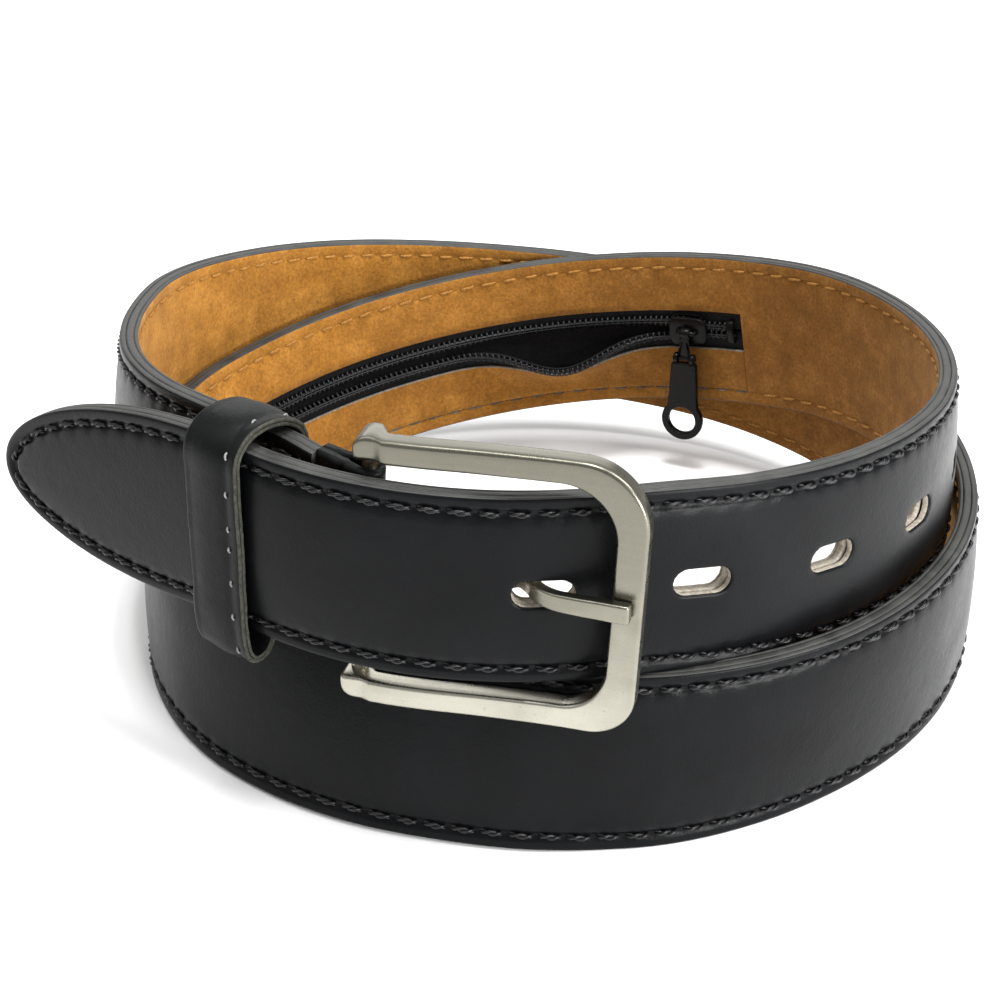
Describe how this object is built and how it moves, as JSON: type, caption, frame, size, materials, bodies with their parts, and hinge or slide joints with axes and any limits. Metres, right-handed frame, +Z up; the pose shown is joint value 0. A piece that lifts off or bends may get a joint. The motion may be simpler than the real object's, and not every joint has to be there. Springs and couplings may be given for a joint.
{
  "type": "money belt",
  "caption": "Coiled leather dress belt, buckled, with a zipped hidden pocket along its suede lining, a pin buckle and a keeper loop.",
  "frame": {"origin": "centre of the bounding box, on the plane the lower turn stands on", "axes": "+Z up along the strap's height, -Y toward the buckle side, +X toward the buckle's end bar"},
  "size_m": [0.189, 0.1806, 0.0781],
  "materials": {
    "smooth_leather": "smooth, semi-gloss, dyed black",
    "edge_core": "dense fibre board, painted edges",
    "suede_lining": "suede nap, tan",
    "black_fabric": "woven zip tape and thin pocket cloth",
    "black_coil": "nylon coil, satin",
    "black_metal": "black enamel on die-cast zinc",
    "satin_nickel": "brushed, warm satin"
  },
  "bodies": {
    "belt": {"strap_outer": "smooth_leather", "strap_core_buckle_side": "edge_core", "strap_core_tip_side": "edge_core", "pocket_rail_upper": "edge_core", "pocket_rail_lower": "edge_core", "strap_lining": "suede_lining", "pocket_lip": "suede_lining", "zipper_tape_upper": "black_fabric", "zipper_tape_lower": "black_fabric", "zipper_coil_upper": "black_coil", "zipper_coil_lower": "black_coil", "pocket_bag": "black_fabric", "zipper_bottom_stop": "black_metal", "zipper_top_stop_upper": "black_metal", "zipper_top_stop_lower": "black_metal", "chape_fold": "smooth_leather"},
    "slider": {"slider_body": "black_metal"},
    "link": {"pull_link": "black_metal"},
    "tab": {"pull_tab": "black_metal"},
    "frame": {"buckle_frame": "satin_nickel", "buckle_bar": "satin_nickel"},
    "tongue": {"tongue": "satin_nickel"},
    "keeper": {"keeper_leather": "smooth_leather", "keeper_backing": "smooth_leather"}
  },
  "joints": [
    {"name": "slider_travel", "type": "hinge", "parent": "belt", "child": "slider", "pos_m": [0.00899, -0.00338, 0.0311], "axis": [-0.137, 0.027, 0.9902], "range_deg": [-3, 79], "deforming": ["zipper_coil_upper", "zipper_coil_lower", "zipper_tape_upper", "zipper_tape_lower", "pocket_lip"]},
    {"name": "link_swing", "type": "hinge", "parent": "slider", "child": "link", "pos_m": [0.03992, 0.06758, 0.03365], "axis": [0.9149, -0.4037, 0], "range_deg": [-100, 4]},
    {"name": "tab_swing", "type": "hinge", "parent": "link", "child": "tab", "pos_m": [0.03992, 0.06758, 0.02745], "axis": [0.9149, -0.4037, 0], "range_deg": [-75, 6]},
    {"name": "frame_swing", "type": "hinge", "parent": "belt", "child": "frame", "pos_m": [-0.02324, -0.07122, 0.0527], "axis": [0.0761, -0.019, 0.9969], "range_deg": [-0.8, 0.5]},
    {"name": "tongue_swing", "type": "hinge", "parent": "frame", "child": "tongue", "pos_m": [-0.02324, -0.07122, 0.0527], "axis": [0.0761, -0.019, 0.9969], "range_deg": [-2, 0]},
    {"name": "keeper_slide", "type": "slide", "parent": "belt", "child": "keeper", "axis": [-0.7475, 0.6643, 0.0019], "range_m": [-0.002, 0.004]}
  ]
}
